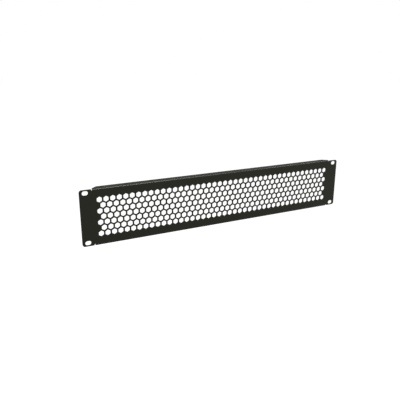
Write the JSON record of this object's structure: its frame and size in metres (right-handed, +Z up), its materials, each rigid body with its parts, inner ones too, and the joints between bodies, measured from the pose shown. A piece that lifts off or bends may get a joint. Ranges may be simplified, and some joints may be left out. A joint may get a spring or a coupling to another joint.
{
  "type": "rack blanking panel",
  "caption": "Vented sheet steel panel that covers an open space at the front of an equipment rack, with hexagonal vent holes, folded-back long edges and slotted ears.",
  "frame": {"origin": "centre of the rectangle of mounting slots, on the rear face of the sheet, which seats on the rack's front rails", "axes": "+X along the panel to the right as seen from the front, +Y into the rack, +Z up"},
  "size_m": [0.4826, 0.011, 0.0882],
  "materials": {
    "powder_coated_steel": "satin black powder coat with a fine orange-peel texture"
  },
  "bodies": {
    "root": {"vented_panel": "powder_coated_steel"}
  },
  "joints": []
}
